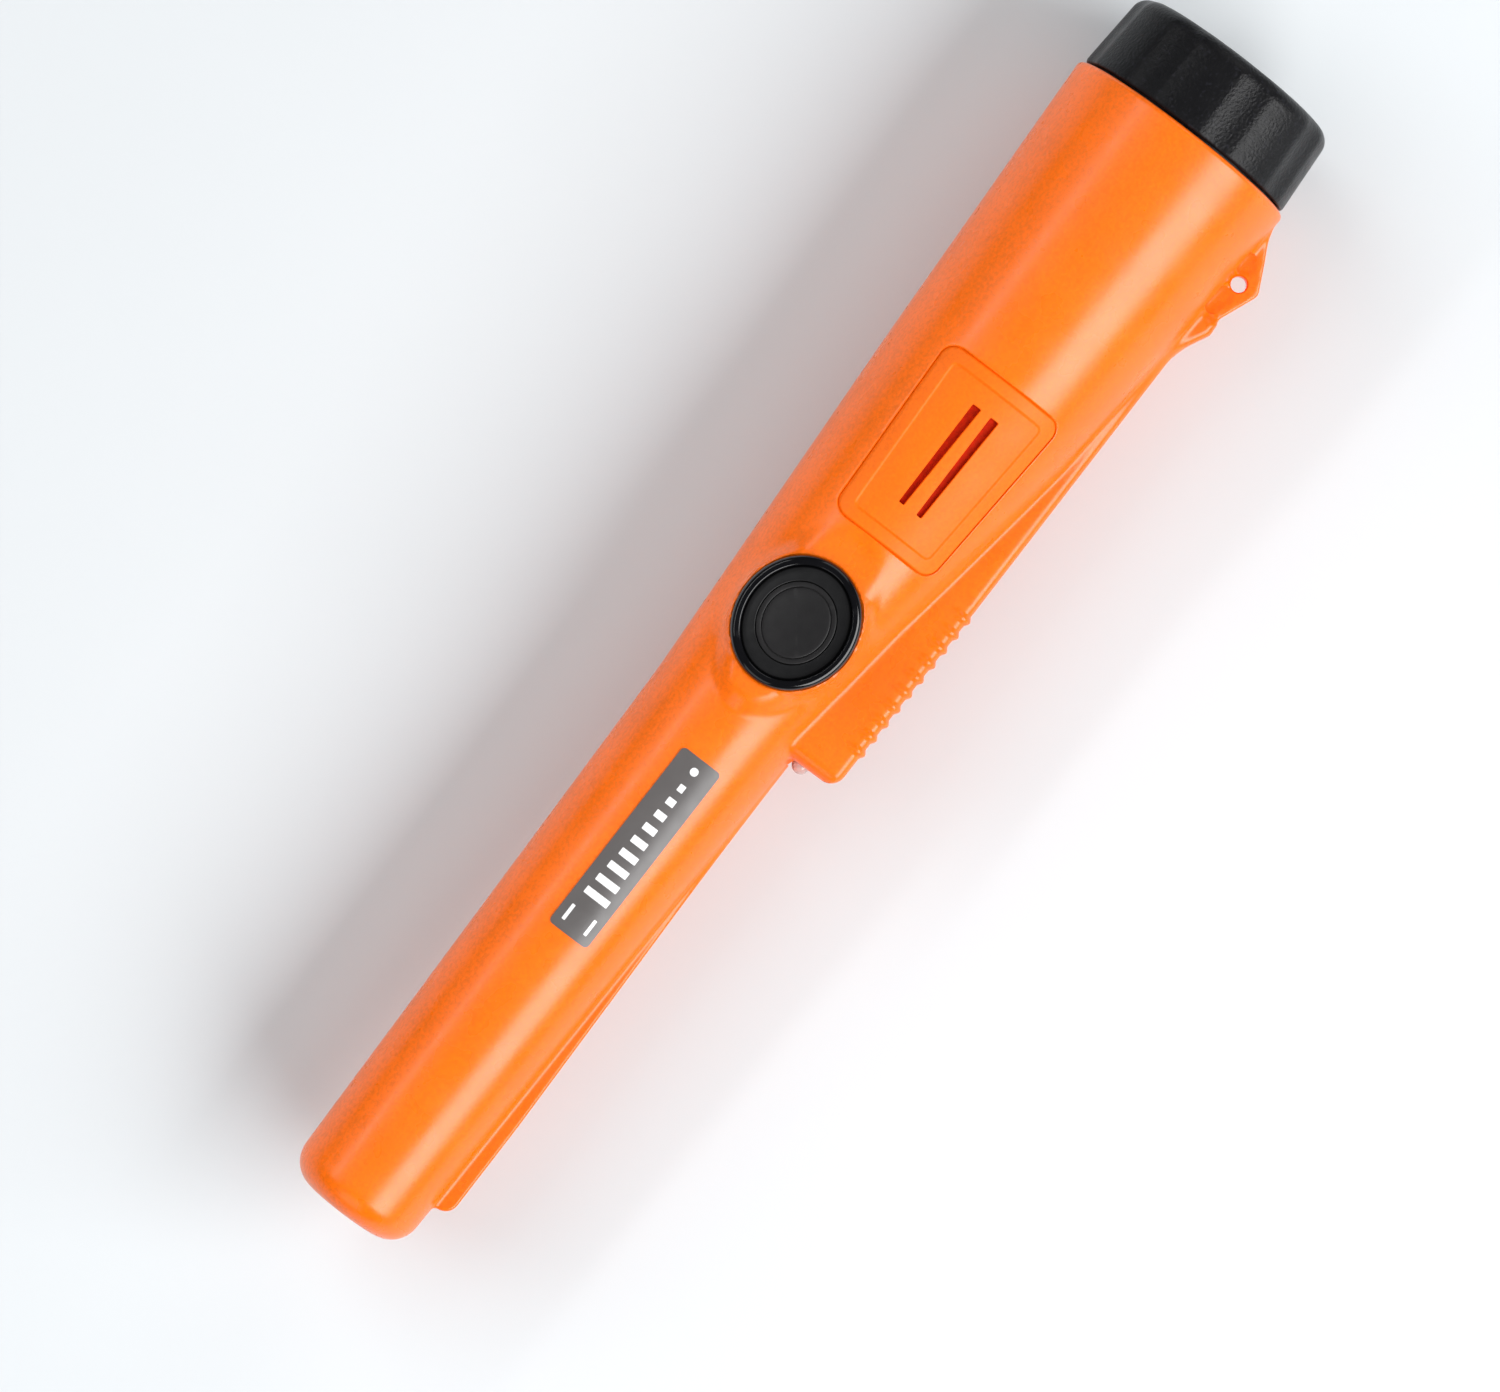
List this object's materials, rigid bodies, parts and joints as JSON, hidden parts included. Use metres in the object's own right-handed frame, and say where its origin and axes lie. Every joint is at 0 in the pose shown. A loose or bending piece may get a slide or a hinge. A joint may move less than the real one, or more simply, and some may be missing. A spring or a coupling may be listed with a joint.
{
  "type": "pinpointer probe",
  "caption": "Hand-held metal-detecting pinpointer: slim tip shaft, flared handle with ribbed keel, lanyard lug, power button, sounder window and screw-on battery cap.",
  "frame": {"origin": "centre of the battery cap's flat end face, on the handle's axis", "axes": "+X along the probe from the cap to the sensing tip, +Z out of the power button, +Y out of the keel and the lanyard lug"},
  "size_m": [0.235, 0.0461, 0.0414],
  "materials": {
    "housing_orange": "fine pebble texture, satin",
    "red_mesh": "fine woven mesh",
    "ring_black": "polished",
    "button_rubber": "matt",
    "cap_black": "fine spark texture",
    "label_grey": "satin film",
    "led_clear": "clear epoxy",
    "tinned_wire": "bright",
    "seal_rubber": "smooth",
    "foam_black": "foam",
    "battery_can": "printed can, plain",
    "battery_plastic": "plain",
    "battery_cell": "plain",
    "nickel": "nickel plate",
    "board_green": "solder mask",
    "inner_plastic": "moulded",
    "screw_steel": "plain",
    "chip_black": "moulded",
    "passive_tan": "ceramic",
    "capacitor_can": "plain",
    "switch_stem": "plain",
    "piezo_brass": "plain",
    "weight_metal": "sintered",
    "ferrite": "ground",
    "copper_wire": "enamelled winding",
    "lead_red": "insulation",
    "lead_black": "insulation"
  },
  "bodies": {
    "housing": {"battery_base_plate": "battery_plastic", "battery_case": "battery_can", "battery_cells": "battery_cell", "battery_end_plate": "battery_plastic", "battery_lead_black": "lead_black", "battery_lead_red": "lead_red", "board_screws": "screw_steel", "bulkhead": "inner_plastic", "bulkhead_screws": "screw_steel", "bulkhead_seal": "seal_rubber", "button_bezel": "ring_black", "button_surround": "button_rubber", "capacitors": "capacitor_can", "chassis": "inner_plastic", "chip_passives": "passive_tan", "coil_former": "inner_plastic", "coil_leads": "lead_black", "contact_board": "board_green", "controller_chip": "chip_black", "crystal_can": "nickel", "ferrite_rod": "ferrite", "front_spacer": "foam_black", "label_plate": "label_grey", "led": "led_clear", "led_leads": "tinned_wire", "main_board": "board_green", "main_housing": "housing_orange", "motor_can": "nickel", "motor_cradle": "inner_plastic", "motor_end_cap": "inner_plastic", "motor_leads": "lead_black", "negative_contact": "nickel", "negative_stud": "nickel", "piezo_disc": "piezo_brass", "positive_contact": "nickel", "positive_stud": "nickel", "rear_spacer": "foam_black", "search_coil": "copper_wire", "small_chips": "chip_black", "sound_mesh": "red_mesh", "sounder_case": "chip_black", "sounder_cover": "housing_orange", "sounder_foam": "foam_black", "sounder_leads": "lead_red", "switch_body": "chip_black"},
    "cap_seal": {"cap_o_ring": "seal_rubber"},
    "cap": {"battery_cap": "cap_black", "cap_pad": "foam_black"},
    "button": {"button_cap": "button_rubber", "button_plunger": "inner_plastic", "switch_stem": "switch_stem"},
    "motor_rotor": {"motor_shaft": "screw_steel", "motor_weight": "weight_metal"}
  },
  "joints": [
    {"name": "cap_travel", "type": "slide", "parent": "housing", "child": "cap_seal", "axis": [-1, 0, 0], "range_m": [0, 0.0066]},
    {"name": "cap_turn", "type": "hinge", "parent": "cap_seal", "child": "cap", "pos_m": [0, 0, 0], "axis": [-1, 0, 0], "range_deg": [0, 792.5]},
    {"name": "button_press", "type": "slide", "parent": "housing", "child": "button", "axis": [0, 0, -1], "range_m": [0, 0.0005], "stiffness_N_per_m": 4000, "springref_m": -0.0002},
    {"name": "motor_spin", "type": "hinge", "parent": "housing", "child": "motor_rotor", "pos_m": [0.084, 0, -0.0086], "axis": [1, 0, 0], "continuous": true}
  ],
  "couplings": [
    {"joint": "cap_turn", "follows": "cap_travel", "rad_per_m": 2094.4}
  ]
}
